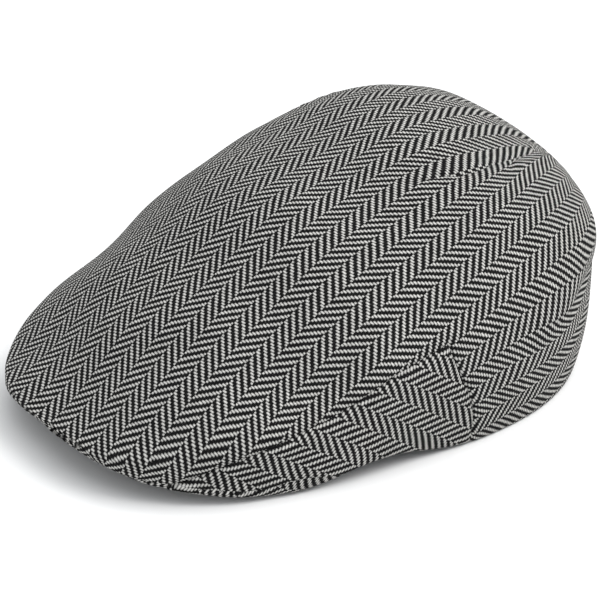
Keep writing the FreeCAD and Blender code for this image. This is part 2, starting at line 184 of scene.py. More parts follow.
def surface(angle, level):
    """The outer face: level 0 to 1 rolls round the hem, 1 to 2 rises to the top."""
    radius = outline(angle)
    across = np.cos(angle)
    along = np.sin(angle)
    base = hem_height(radius * across, radius * along)
    back = smooth(along)
    front = smooth((-radius * along - 20) / 80)
    bulge = (SIDE_BULGE + (REAR_BULGE - SIDE_BULGE) * back) * (1 - front) + EDGE_ROLL * front
    ahead = brim_share(angle)
    hem = head(angle) * (1 - ahead) + (radius - EDGE_TUCK) * ahead
    turn = (1 - np.clip(level, 0, 1)) * np.pi / 2
    low = radius - np.maximum(radius - hem, 0.3) * (1 - np.cos(turn))
    low_z = base + bulge * (1 - np.sin(turn))
    power = SIDE_POWER + (BACK_POWER - SIDE_POWER) * back
    power = power + (FRONT_POWER - power) * front
    inward = np.cos(np.clip(level - 1, 0, 1) ** 1.6 * np.pi / 2)
    rise = np.clip(1 - inward**power, 0, None) ** (1 / power)
    squarer = oval(angle, HALF_WIDTH, CROWN_REAR, REAR_TOP_POWER)
    reach = np.where(along > 0, radius + (squarer - radius) * rise, radius)
    x = reach * across * inward
    y = reach * along * inward + CROWN_MIDDLE * (1 - inward)
    start = base + bulge
    z = start + (top_height(x, y) - start) * rise
    up = level >= 1
    return np.stack([np.where(up, x, low * across), np.where(up, y, low * along),
                     np.where(up, z, low_z)], -1)


def opening_height(angle):
    """Height of the head opening's lower edge: the hem behind, the brim in front."""
    radius = head(angle)
    edge = outline(angle)
    ahead = brim_share(angle)
    brim = hem_round(edge, angle) + BRIM_TILT * (edge - radius)
    return hem_round(radius, angle) * (1 - ahead) + brim * ahead


def waves(points, length, height, count=9):
    """Soft uneven swelling of about this wavelength and height."""
    total = np.zeros(len(points))
    for _ in range(count):
        heading = rng.normal(size=3)
        heading *= 2 * np.pi / length / np.linalg.norm(heading) * rng.uniform(0.7, 1.4)
        total += np.sin(points @ heading + rng.uniform(0, 2 * np.pi))
    return total * height / math.sqrt(count)


# ---- seams, as signed distances from their lines ----

def gusset_side(points):
    """Above 0 on the gussets, and 0 along their seams."""
    under_top = through(points[:, 1], SEAM_TOP[:, 0], SEAM_TOP[:, 1]) - points[:, 2]
    before_rear = through(points[:, 2], SEAM_REAR[:, 0], SEAM_REAR[:, 1]) - points[:, 1]
    return np.minimum(np.minimum(under_top, before_rear), np.abs(points[:, 0]) - GUSSET_INNER_X)


def dart_side(points):
    """Above 0 outside the darts, and 0 along them."""
    return np.abs(points[:, 0]) - through(points[:, 1], DART[:, 0], DART[:, 1])


def strip_side(points, levels):
    """Below 0 on the strip of under-brim cloth that shows round the brim's edge."""
    angle = np.degrees(np.arctan2(points[:, 1], points[:, 0]))
    from_middle = np.abs(angle + 90)
    return levels - 0.975 * smooth((from_middle - 13) / 14) * smooth((60 - from_middle) / 16)


# ---- the weave's directions on the crown ----

def disc_grid(count):
    """A square grid bent into a disc: distance from the middle, and angle."""
    line = np.linspace(-1, 1, count + 1)
    a, b = np.meshgrid(line, line, indexing="ij")
    reach = np.maximum(abs(a), abs(b))
    flat_a = np.where(abs(a) < 1e-9, 1e-9, a)
    flat_b = np.where(abs(b) < 1e-9, 1e-9, b)
    sideways = np.where(a >= 0, 0, np.pi) + np.pi / 4 * b / flat_a
    upright = np.where(b >= 0, np.pi / 2, -np.pi / 2) - np.pi / 4 * a / flat_b
    return reach, np.where(abs(a) >= abs(b), sideways, upright)


def round_form(angles, levels):
    """The step between two places just before and just after each angle."""
    return surface(angles + ANGLE_STEP, levels) - surface(angles - ANGLE_STEP, levels)


def form_normals(angles, levels):
    """The outward direction of the outer face."""
    inner = np.clip(levels, 0.01, 1.97)
    upward = surface(angles, inner + 0.02) - surface(angles, inner - 0.01)
    normal = np.cross(round_form(angles, inner), upward)
    return normal / (np.linalg.norm(normal, axis=-1, keepdims=True) + 1e-12)


def along_surface(direction, normal):
    flat = direction - (direction * normal).sum(-1, keepdims=True) * normal
    return flat / (np.linalg.norm(flat, axis=-1, keepdims=True) + 1e-9)


def unroll(points, gradient, trust, start):
    """A value over the grid that changes as gradient asks, by conjugate gradients."""
    spans = [np.diff(points, axis=axis) for axis in (0, 1)]
    lengths = [np.linalg.norm(span, axis=-1) + 1e-6 for span in spans]
    means = []
    weights = []
    wide = [np.pad(lengths[0], ((0, 1), (0, 0)), "edge"), np.pad(lengths[1], ((0, 0), (0, 1)), "edge")]
    for axis in (0, 1):
        first = np.s_[:-1, :] if axis == 0 else np.s_[:, :-1]
        second = np.s_[1:, :] if axis == 0 else np.s_[:, 1:]
        mean = (gradient[first] + gradient[second]) / 2
        means.append((mean * spans[axis]).sum(-1))
        ratio = wide[1 - axis][first] / lengths[axis]
        weights.append(np.clip(ratio, 0.05, 20) * (trust[first] + trust[second]) / 2)

    def gather(flows, sign=-1):
        total = np.zeros(points.shape[:2])
        total[1:, :] += flows[0]
        total[:-1, :] += sign * flows[0]
        total[:, 1:] += flows[1]
        total[:, :-1] += sign * flows[1]
        return total

    def apply(value):
        return gather([weights[axis] * np.diff(value, axis=axis) for axis in (0, 1)])

    scale = gather(weights, 1)
    value = start.copy()
    rest = gather([weights[axis] * means[axis] for axis in (0, 1)]) - apply(value)
    ready = rest / scale
    step = ready.copy()
    strength = (rest * ready).sum()
    for _ in range(UNROLL_STEPS):
        push = apply(step)
        size = strength / (step * push).sum()
        value += size * step
        rest -= size * push
        ready = rest / scale
        fresh = (rest * ready).sum()
        if fresh < 1e-7:
            break
        step = ready + fresh / strength * step
        strength = fresh
    middle = points.shape[0] // 2
    return value - value[middle, middle]


def carry_round_hem(field, points, levels, angles, normal):
    """Below level 1 the field keeps its angle to the hem as the cloth turns under."""
    round_it = along_surface(round_form(angles, levels), normal)
    upward = np.cross(round_it, normal)
    edge_levels = np.maximum(levels, 1.02)
    edge = surface(angles, edge_levels)
    edge_normal = form_normals(angles, edge_levels)
    edge_round = along_surface(round_form(angles, edge_levels), edge_normal)
    edge_up = np.cross(edge_round, edge_normal)
    edge_field = along_surface(field(edge), edge_normal)
    across = (edge_field * edge_round).sum(-1, keepdims=True)
    rising = (edge_field * edge_up).sum(-1, keepdims=True)
    carried = across * round_it + rising * upward
    here = along_surface(field(points), normal)
    return np.where((levels < 1.02)[..., None], along_surface(carried, normal), here)


def tilted(points, ys, degrees):
    """Columns that run backward and rise by an angle that depends on y."""
    tilt = np.radians(np.interp(points[..., 1], ys, degrees))
    return np.stack([np.zeros_like(tilt), np.cos(tilt), np.sin(tilt)], -1)


def crown_field(points):
    return tilted(points, [-130, -90, -55, -20, 5, 30, 60], [52, 45, 36, 34, 28, 22, 20])


def gusset_field(points):
    return tilted(points, [-130, 0], [-30, -34])


def weave_maps(points, levels, angles, normal):
    """Cloth coordinates in mm: crown, back between the darts, and gussets."""
    x = points[..., 0]
    y = points[..., 1]
    maps = []
    sides = carry_round_hem(crown_field, points, levels, angles, normal)
    down = np.cross(normal, np.array([1.0, 0, 0]))
    down /= np.linalg.norm(down, axis=-1, keepdims=True) + 1e-9
    inside = np.abs(x) < through(y, DART[:, 0], DART[:, 1]) + 4
    maps.append((sides, np.where(inside & (y > 50), 0.02, 1.0)))
    behind = smooth((y - 50) / 35)[..., None]
    back = along_surface(sides * (1 - behind) + down * behind, normal)
    maps.append((back, np.where(~inside & (y > DART_TIP_Y), 0.02, 1.0)))
    panel = carry_round_hem(gusset_field, points, levels, angles, normal)
    near = (gusset_side(points.reshape(-1, 3)).reshape(x.shape) > -4) & (np.abs(x) > GUSSET_INNER_X)
    maps.append((panel, np.where(near, 1.0, 0.01)))
    skew = 15 * smooth((y + 75) / 80) * np.exp(-(((np.abs(x) - 52) / 20) ** 2)) * np.sign(x)
    skews = [skew, skew, skew * 0]
    result = []
    for (field, trust), degrees in zip(maps, skews):
        across = np.cross(field, normal)
        leaning = field - across * np.tan(np.radians(degrees))[..., None]
        result.append(unroll(points, across, trust, x * 1.0))
        result.append(unroll(points, leaning, trust, y * 1.0))
    return result


# ---- meshes ----

def new_object(name, data):
    made = bpy.data.objects.new(name, data)
    bpy.context.scene.collection.objects.link(made)
    return made


def write_object(name, body, slot, material, vertices, faces, uv, stands_for=()):
    """A mesh object in metres that rides on a body; uv is one pair per face corner."""
    mesh = bpy.data.meshes.new(name)
    mesh.from_pydata((np.asarray(vertices) * MM).tolist(), [], faces)
    layer = mesh.uv_layers.new(name="weave")
    layer.data.foreach_set("uv", np.asarray(uv, dtype=np.float32).ravel())
    mesh.polygons.foreach_set("use_smooth", [True] * len(mesh.polygons))
    mesh.materials.append(material)
    mesh.update()
    made = new_object(name, mesh)
    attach(made, body)
    if stands_for:
        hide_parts(*stands_for)
    return made


def thicken(made, thickness, offset=-1.0, edge=None):
    """Gives a sheet its thickness; edge is the material of its cut edges."""
    modifier = made.modifiers.new("thickness", "SOLIDIFY")
    modifier.thickness = thickness * MM
    modifier.offset = offset
    modifier.use_even_offset = False
    if edge:
        made.data.materials.append(edge)
        modifier.material_offset_rim = 1


def sheet_data(points, uv, closed=False):
    """Quads through rows and columns of points; uv has an extra column when closed."""
    rows, columns = points.shape[:2]
    faces = []
    corners = []
    for r in range(rows - 1):
        for c in range(columns - (0 if closed else 1)):
            n = (c + 1) % columns
            faces.append((r * columns + c, r * columns + n, (r + 1) * columns + n, (r + 1) * columns + c))
            corners += [uv[r, c], uv[r, c + 1], uv[r + 1, c + 1], uv[r + 1, c]]
    return points.reshape(-1, 3), faces, corners


def sheet_object(name, slot, material, points, uv, stands_for, thickness, offset=-1.0, closed=False):
    """A sheet of cloth on the cap, through rows and columns of points."""
    made = write_object(name, "cap", slot, material, *sheet_data(points, uv, closed), stands_for)
    thicken(made, thickness, offset)


def over_grid(across, rising):
    """Cloth coordinates from the runs across the columns and up the rows."""
    return np.stack(np.broadcast_arrays(np.asarray(across)[None, :], np.asarray(rising)[:, None]), -1)


def run_lengths(points, closed=True):
    """Distance along a row of points, with the closing length added."""
    ring = np.vstack([points, points[:1]]) if closed else points
    return np.concatenate([[0], np.cumsum(np.linalg.norm(np.diff(ring, axis=0), axis=1))])


def tube(path, radii, sides=7):
    """Corner points and faces of a closed tube along a path."""
    path = np.asarray(path, float)
    ahead = np.gradient(path, axis=0)
    ahead /= np.linalg.norm(ahead, axis=1, keepdims=True) + 1e-9
    guide = np.array([0.3, 0.2, 0.93])
    side = np.cross(ahead, guide)
    side /= np.linalg.norm(side, axis=1, keepdims=True) + 1e-9
    other = np.cross(ahead, side)
    turn = np.linspace(0, 2 * np.pi, sides, endpoint=False)
    rings = (path[:, None] + radii[:, None, None] *
             (np.cos(turn)[None, :, None] * side[:, None] + np.sin(turn)[None, :, None] * other[:, None]))
    runs = run_lengths(path, False)
    round_it = np.arange(sides + 1) / sides
    points, faces, corners = sheet_data(rings, over_grid(round_it, runs)[..., ::-1], True)
    faces.append(tuple(range(sides))[::-1])
    corners += [(0, part) for part in round_it[:-1]]
    faces.append(tuple((len(path) - 1) * sides + c for c in range(sides)))
    corners += [(runs[-1], part) for part in round_it[:-1]]
    return points, faces, corners


def joined(parts):
    """Several (points, faces, corners) as one."""
    points = []
    faces = []
    corners = []
    count = 0
    for part_points, part_faces, part_corners in parts:
        points.append(part_points)
        faces += [tuple(index + count for index in face) for face in part_faces]
        corners += list(part_corners)
        count += len(part_points)
    return np.vstack(points), faces, corners


def stitches(name, path, outward, radius, stands_for):
    """Sewing thread that shows as short stitches with their ends pulled into the cloth."""
    path = np.asarray(path)
    outward = np.asarray(outward)
    runs = run_lengths(path, False)
    parts = []
    t = np.linspace(0, 1, 7)

    def at(where, values):
        return np.stack([np.interp(where, runs, values[:, k]) for k in range(3)], -1)

    for start in np.arange(0.6, runs[-1] - STITCH_LENGTH, STITCH_PITCH):
        where = start + t * STITCH_LENGTH * rng.uniform(0.94, 1.04)
        lift = 0.32 * np.sin(np.pi * t) ** 0.6 - 0.26
        line = at(where, path) + at(where, outward) * lift[:, None]
        parts.append(tube(line, radius * np.clip(np.sin(np.pi * (0.06 + 0.88 * t)), 0, 1) ** 0.35))
    write_object(name, "cap", "thread", THREAD, *joined(parts), stands_for)


# ---- materials ----

class Wire:
    """A value in a node tree that arithmetic can be done on."""

    def __init__(self, tree, socket):
        self.tree = tree
        self.socket = socket

    def maths(self, operation, *others):
        node = self.tree.nodes.new("ShaderNodeMath")
        node.operation = operation
        for socket, value in zip(node.inputs, (self,) + others):
            if isinstance(value, Wire):
                self.tree.links.new(value.socket, socket)
            else:
                socket.default_value = value
        return Wire(self.tree, node.outputs[0])

    def __add__(self, other):
        return self.maths("ADD", other)

    def __sub__(self, other):
        return self.maths("SUBTRACT", other)

    def __mul__(self, other):
        return self.maths("MULTIPLY", other)

    def __rsub__(self, other):
        return self.maths("MULTIPLY", -1.0).maths("ADD", other)

    def floor(self):
        return self.maths("FLOOR")

    def within(self, size):
        return self.maths("FLOORED_MODULO", size)

    def above(self, limit):
        return self.maths("GREATER_THAN", limit)

    def clamp(self):
        return self.maths("MAXIMUM", 0.0).maths("MINIMUM", 1.0)


def choose(switch, when_one, when_zero):
    """when_one where switch is 1, and when_zero where it is 0."""
    return (when_one - when_zero) * switch + when_zero


def new_material(name, roughness=0.9, specular=0.25, sheen=0.0):
    material = bpy.data.materials.new(name)
    material.use_nodes = True
    tree = material.node_tree
    shader = tree.nodes["Principled BSDF"]
    shader.inputs["Roughness"].default_value = roughness
    shader.inputs["Specular IOR Level"].default_value = specular
    shader.inputs["Sheen Weight"].default_value = sheen
    shader.inputs["Sheen Roughness"].default_value = 0.5
    return material, tree, shader


def cloth_place(tree):
    """The cloth coordinates u and v, in millimetres."""
    source = tree.nodes.new("ShaderNodeUVMap")
    source.uv_map = "weave"
    split = tree.nodes.new("ShaderNodeSeparateXYZ")
    tree.links.new(source.outputs[0], split.inputs[0])
    return Wire(tree, split.outputs[0]), Wire(tree, split.outputs[1])


def object_place(tree):
    source = tree.nodes.new("ShaderNodeTexCoord")
    return source.outputs["Object"]


def joined_place(tree, u, v):
    join = tree.nodes.new("ShaderNodeCombineXYZ")
    tree.links.new(u.socket, join.inputs[0])
    tree.links.new(v.socket, join.inputs[1])
    return join.outputs[0]


def noise(tree, place, scale, detail=2.0, rough=0.5):
    node = tree.nodes.new("ShaderNodeTexNoise")
    node.inputs["Scale"].default_value = scale
    node.inputs["Detail"].default_value = detail
    node.inputs["Roughness"].default_value = rough
    tree.links.new(place, node.inputs["Vector"])
    return Wire(tree, node.outputs["Fac"])


def random_per_cell(tree, u, v):
    node = tree.nodes.new("ShaderNodeTexWhiteNoise")
    node.noise_dimensions = "2D"
    tree.links.new(joined_place(tree, u, v), node.inputs["Vector"])
    return Wire(tree, node.outputs["Value"])


def colour_between(tree, shader, amount, dark, light):
    mix = tree.nodes.new("ShaderNodeMix")
    mix.data_type = "RGBA"
    mix.inputs["A"].default_value = (*dark, 1)
    mix.inputs["B"].default_value = (*light, 1)
    tree.links.new(amount.socket, mix.inputs["Factor"])
    tree.links.new(mix.outputs["Result"], shader.inputs["Base Color"])


def relief(tree, shader, height, distance, strength=1.0):
    node = tree.nodes.new("ShaderNodeBump")
    node.inputs["Strength"].default_value = strength
    node.inputs["Distance"].default_value = distance * MM
    tree.links.new(height.socket, node.inputs["Height"])
    tree.links.new(node.outputs["Normal"], shader.inputs["Normal"])


def arch_of(part):
    """A round profile over a yarn: part runs 0 to 1 across it."""
    return (1.0 - (part * 2.0 - 1.0).maths("POWER", 2.0)).clamp().maths("SQRT")


def over_float(run):
    """A yarn's height along its float: run goes 0 to 2, and it dips at both ends."""
    return (1.0 - (run - 1.0).maths("ABSOLUTE").maths("POWER", 3.0)).clamp() * 0.55 + 0.45


COLUMN_ENDS = 8.0


def herringbone(name, end_pitch=0.87, pick_pitch=1.01, shift=0.0, light=(0.70, 0.69, 0.66)):
    """A 2/2 twill, off-white weft on black warp, that turns back at each new column."""
    material, tree, shader = new_material(name, 0.95, 0.05, 0.0)
    u, v = cloth_place(tree)
    place = joined_place(tree, u, v)
    u = u + (noise(tree, place, 0.5) - 0.5) * 0.55 + shift
    v = v + (noise(tree, place, 0.41) - 0.5) * 0.55
    ends = u * (1 / end_pitch)
    picks = v * (1 / pick_pitch)
    end = ends.floor()
    pick = picks.floor()
    across = ends - end
    along = picks - pick
    column = (end * (1 / COLUMN_ENDS) + 0.001).floor()
    turned = column.within(2.0).above(0.5)
    place_in_column = end - column * COLUMN_ENDS
    lean = choose(turned, 1.0 - place_in_column, place_in_column)
    phase = (pick + lean + 0.5).within(4.0).floor()
    warp_up = phase.above(1.5)
    weft_run = choose(turned, 1.0 - phase, phase) + across
    warp_run = phase - 2.0 + along
    weft = arch_of(along) * over_float(weft_run)
    warp = arch_of(across) * over_float(warp_run) * 0.8
    height = choose(warp_up, warp, weft)
    yarn = random_per_cell(tree, (end + pick) * 0.5, pick)
    fibres = noise(tree, joined_place(tree, u, v * 4.0), 2.2, 3.0, 0.7)
    plies = arch_of(choose(warp_up, picks * 1.7 + across * 0.8, ends * 1.7 + along * 0.8).within(1.0))
    # Fibre noise is the yarn's own tone. The ply term makes each ply's crest lighter and its grooves
    # darker, a painted highlight and painted shade.
    fibres_and_painted_ply_shade = (fibres - 0.5) * 1.3 + 0.86 + plies * 0.18
    # Painted shade: the weft's colour falls off from each float's crown towards its edges and towards its
    # ends, where it dips under the warp.
    painted_yarn_shade = (weft * weft * 0.88 + 0.07) * (yarn * 0.26 + 0.87) * fibres_and_painted_ply_shade
    worn = noise(tree, place, 0.045) * 0.14 + 0.93
    grey = noise(tree, joined_place(tree, u * 4.0, v * 1.0), 2.0, 2.0) * 0.015
    wander = noise(tree, joined_place(tree, u * 1.5, v), 0.8, 4.0, 0.6)
    hairs = (1.0 - (wander - 0.5).maths("ABSOLUTE") * 70.0).clamp() * noise(tree, place, 1.7).above(0.5)
    # The black warp is a touch lighter along its crown, a faint painted highlight.
    amount = (choose(warp_up, grey * warp, painted_yarn_shade * worn) + hairs * 0.16).clamp()
    colour_between(tree, shader, amount, (0.004, 0.004, 0.0045), light)
    relief(tree, shader, height + fibres * 0.3 + plies * 0.16 + hairs * 0.3, 0.30)
    return material


def twill(name, dark, light, pitch, roughness=0.85):
    """A fine plain-coloured twill whose ribs run on the slant; its colour is lighter on the rib crests and
    darker between them, a painted highlight and painted shade.
    """
    material, tree, shader = new_material(name, roughness, 0.3, 0.1)
    u, v = cloth_place(tree)
    place = joined_place(tree, u, v)
    rib = ((u + v * 1.6) * (1 / pitch)).within(1.0)
    yarns = arch_of((v * (2 / pitch)).within(1.0))
    ribs = arch_of(rib) * (yarns * 0.35 + 0.65)
    wear = noise(tree, place, 0.06, 3.0)
    # Painted highlight on the rib crests and painted shade between the ribs, mixed with a random tone from
    # the wear noise.
    colour_between(tree, shader, (ribs * 0.6 + wear * 0.4).clamp(), dark, light)
    relief(tree, shader, ribs + noise(tree, place, 3.0) * 0.3, 0.12)
    return material


def satin(name, dark, light, roughness=0.34):
    """Smooth satin: fine floats along v, with a soft sheen."""
    material, tree, shader = new_material(name, roughness, 0.55, 0.25)
    u, v = cloth_place(tree)
    floats = arch_of((u * 4.0).within(1.0))
    slub = noise(tree, joined_place(tree, u * 3.0, v * 0.15), 1.2, 3.0)
    fold = noise(tree, joined_place(tree, u, v), 0.05, 2.0)
    # Painted light: the floats' crowns are coloured lighter, and the broad fold noise paints the light and
    # shade of soft folds. The slub noise is the yarn's own tone.
    colour_between(tree, shader, (floats * 0.35 + slub * 0.4 + fold * 0.25).clamp(), dark, light)
    relief(tree, shader, floats * 0.4 + slub, 0.05, 0.7)
    return material


def woven_label(name, half_width, half_length):
    """A blank damask label: a plain field inside a narrow woven border."""
    material, tree, shader = new_material(name, 0.6, 0.35, 0.1)
    u, v = cloth_place(tree)
    edge_u = half_width - u.maths("ABSOLUTE")
    edge_v = half_length - v.maths("ABSOLUTE")
    edge = edge_u.maths("MINIMUM", edge_v)
    border = edge.above(2.2) * (1.0 - edge.above(3.2))
    fine = arch_of((u * 3.0).within(1.0)) * arch_of((v * 3.0).within(1.0))
    ground = (fine * 0.3 + 0.6) * (noise(tree, joined_place(tree, u, v), 0.4) * 0.2 + 0.9)
    amount = (ground * (1.0 - border * 0.8)).clamp()
    colour_between(tree, shader, amount, (0.05, 0.05, 0.05), (0.78, 0.74, 0.66))
    relief(tree, shader, fine + border * 0.8, 0.1)
    return material


def thread_material(name):
    """Two-ply polyester thread, with its twist as slanting ridges."""
    material, tree, shader = new_material(name, 0.5, 0.45)
    u, v = cloth_place(tree)
    ply = arch_of((u * 1.3 + v * 2.0).within(1.0))
    # Painted highlight: the colour is lighter along each ply's crest and darker in the twist's grooves.
    colour_between(tree, shader, ply * 0.8, (0.008, 0.008, 0.009), (0.06, 0.06, 0.065))
    relief(tree, shader, ply, 0.08)
    return material


def grained(name, roughness, specular, fine, broad, harsh, dark, light, depth):
    """A plain material; fine and broad are each a noise scale, its detail and its share."""
    material, tree, shader = new_material(name, roughness, specular)
    place = object_place(tree)
    grain = noise(tree, place, fine[0], fine[1], harsh)
    amount = grain * fine[2] + noise(tree, place, broad[0], broad[1]) * broad[2]
    colour_between(tree, shader, amount.clamp(), dark, light)
    relief(tree, shader, grain, depth)
    return material


TWEED = herringbone("tweed_crown", shift=2.6)
TWEED_GUSSET = herringbone("tweed_gusset_cloth", 0.95, 1.10, 4.0)
TWEED_UNDER = herringbone("tweed_under_cloth", shift=2.0)
TWEED_EDGE = twill("tweed_cut_edge", (0.004, 0.004, 0.004), (0.10, 0.10, 0.095), 1.1, 0.95)
BAND_TWILL = twill("sweatband_cotton", (0.006, 0.006, 0.007), (0.055, 0.055, 0.06), 0.9)
TAPE_TWILL = twill("tape_cotton", (0.012, 0.012, 0.012), (0.09, 0.09, 0.09), 1.4)
LINING = satin("lining_satin_black", (0.006, 0.006, 0.008), (0.055, 0.055, 0.065))
LABEL_SATIN = satin("label_satin_white", (0.66, 0.66, 0.63), (0.9, 0.9, 0.88), 0.45)
LABEL_WOVEN = woven_label("label_damask", MAKER_HALF_WIDTH, MAKER_HALF_LENGTH)
THREAD = thread_material("thread_black")
INTERLINING = grained("interlining_white", 0.95, 0.15, (1400.0, 4.0, 0.7), (60.0, 2.0, 0.3), 0.7,
                      (0.6, 0.6, 0.57), (0.92, 0.92, 0.9), 0.15)
BOARD = grained("board_polyethylene", 0.55, 0.4, (2200.0, 2.0, 0.2), (35.0, 3.0, 0.7), 0.5,
                (0.06, 0.06, 0.065), (0.16, 0.16, 0.17), 0.04)


# ---- crown, gussets and the strip round the brim ----

FAR_AWAY = 1e3
LAYERS = ("level", "side_u", "side_v", "back_u", "back_v", "gusset_u", "gusset_v")


def outer_grid():
    """Places, levels and cloth coordinates over the whole outer face, as a grid."""
    reach, angles = disc_grid(GRID)
    half = GRID / 2
    steps = reach * half
    hem = (half - steps) / HEM_ROWS
    rising = 1 + (half - HEM_ROWS - steps) / (half - HEM_ROWS)
    levels = np.where(steps > half - HEM_ROWS, hem, rising)
    points = surface(angles, levels)
    normal = form_normals(angles, levels)
    return points, levels, angles, normal, weave_maps(points, levels, angles, normal)


def grid_mesh(points, levels, maps):
    work = bmesh.new()
    layers = [work.verts.layers.float.new(name) for name in LAYERS + ("mark",)]
    columns = np.column_stack([levels.ravel()] + [value.ravel() for value in maps])
    verts = []
    for place, values in zip(points.reshape(-1, 3), columns):
        vert = work.verts.new(place)
        for layer, value in zip(layers, values):
            vert[layer] = value
        verts.append(vert)
    size = points.shape[0]
    for a in range(size - 1):
        for b in range(size - 1):
            corner = a * size + b
            work.faces.new([verts[k] for k in (corner, corner + size, corner + size + 1, corner + 1)])
    return work, layers


def cut(work, layers, side, allowed=None):
    """Moves or splits edges so that the line where side is 0 runs along edges."""
    mark = layers[-1]
    points = np.array([vert.co for vert in work.verts])
    levels = np.array([vert[layers[0]] for vert in work.verts])
    values = side(points, levels)
    usable = np.ones(len(values), bool) if allowed is None else allowed(points)
    for vert, value, use in zip(work.verts, values, usable):
        vert[mark] = value if use else FAR_AWAY

    def slide(vert, other, part):
        vert.co = vert.co.lerp(other.co, part)
        for layer in layers[:-1]:
            vert[layer] += (other[layer] - vert[layer]) * part
        vert[mark] = 0

    def crossed():
        found = []
        for edge in work.edges:
            first, second = (vert[mark] for vert in edge.verts)
            if first * second < 0 and max(abs(first), abs(second)) < 0.9 * FAR_AWAY:
                found.append(edge)
        return found

    for edge in crossed():
        a, b = edge.verts
        if a[mark] * b[mark] < 0:
            part = a[mark] / (a[mark] - b[mark])
            if part < 0.25 and not a.is_boundary:
                slide(a, b, part)
            elif part > 0.75 and not b.is_boundary:
                slide(b, a, 1 - part)
    for edge in crossed():
        a, b = edge.verts
        made = bmesh.utils.edge_split(edge, a, a[mark] / (a[mark] - b[mark]))[1]
        made[mark] = 0
    for face in list(work.faces):
        on_line = [vert for vert in face.verts if vert[mark] == 0]
        if len(on_line) == 2:
            first, second = on_line
            if not any(second in edge.verts for edge in first.link_edges):
                bmesh.utils.face_split(face, first, second)


def seam_relief(distance, width, depth, swell):
    """A narrow groove along a seam, and the fullness of the cloth beside it."""
    beside = np.exp(-(((distance - 3.0 * width) / (1.8 * width)) ** 2))
    return swell * beside - depth * np.exp(-((distance / width) ** 2))


def raise_cloth(points, levels, normal):
    """Seam grooves, puckers and the soft unevenness of worn wool."""
    gusset = np.abs(gusset_side(points))
    to_tip = np.hypot(np.abs(points[:, 0]) - DART_TIP_X, points[:, 1] - DART_TIP_Y)
    dart = np.where(points[:, 1] > DART_TIP_Y, np.abs(dart_side(points)), to_tip)
    dart = np.where(points[:, 2] > 8, dart, FAR_AWAY)
    strip = np.abs(strip_side(points, levels)) * 3.5
    in_front = smooth((60 - np.abs(np.degrees(np.arctan2(points[:, 1], points[:, 0])) + 90)) / 12)
    along = points[:, 1] * 0.9 + points[:, 2] * 0.5
    pucker = np.sin(along * 2 * np.pi / 7.3 + 1.3 * np.sin(along / 9.0))
    lift = np.zeros(len(points))
    for seam, width, depth, swell, drawn in ((gusset, 1.2, 0.9, 0.22, 0.12), (dart, 1.0, 0.8, 0.25, 0.15)):
        lift += seam_relief(seam, width, depth, swell)
        lift += drawn * pucker * np.exp(-(((seam - 3.0) / 3.0) ** 2))
    lift += in_front * seam_relief(strip, 0.9, 0.55, 0.1)
    even = 1 - 0.9 * smooth((-points[:, 1] - 60) / 40) * np.exp(-(((levels - 1.04) / 0.12) ** 2))
    lift += (waves(points, 52.0, 0.45) + waves(points, 21.0, 0.12)) * even
    held = smooth(levels * 2.2)
    return points + normal * (lift * held)[:, None]


def softened(facing, edges):
    """Directions averaged with their neighbours', so that close rows move together."""
    for _ in range(8):
        total = facing.copy()
        np.add.at(total, edges[:, 0], facing[edges[:, 1]])
        np.add.at(total, edges[:, 1], facing[edges[:, 0]])
        facing = total / np.linalg.norm(total, axis=1, keepdims=True)
    return facing


def face_kind(points, levels):
    """0 crown, 1 left gusset, 2 right gusset, 3 strip, for a face's middle."""
    on_gusset = gusset_side(points) > 0
    kind = np.where(on_gusset, np.where(points[:, 0] > 0, 1, 2), 0)
    return np.where(strip_side(points, levels) < 0, 3, kind)


def dart_share(points):
    """How much of the cloth map between the darts a place ahead of their tips takes."""
    spread = np.maximum((DART_TIP_Y - points[:, 1]) * 0.5, 0.01)
    inside = smooth(0.5 - dart_side(points) / (2 * spread))
    return inside * smooth((points[:, 1] + 30) / 38)


def part_of(faces, keep, points, uv_rows):
    """The kept faces with their own points."""
    used = {}
    new_faces = []
    corners = []
    for face, chosen, rows in zip(faces, keep, uv_rows):
        if chosen:
            new_faces.append(tuple(used.setdefault(index, len(used)) for index in face))
            corners += rows
    return points[list(used)], new_faces, corners


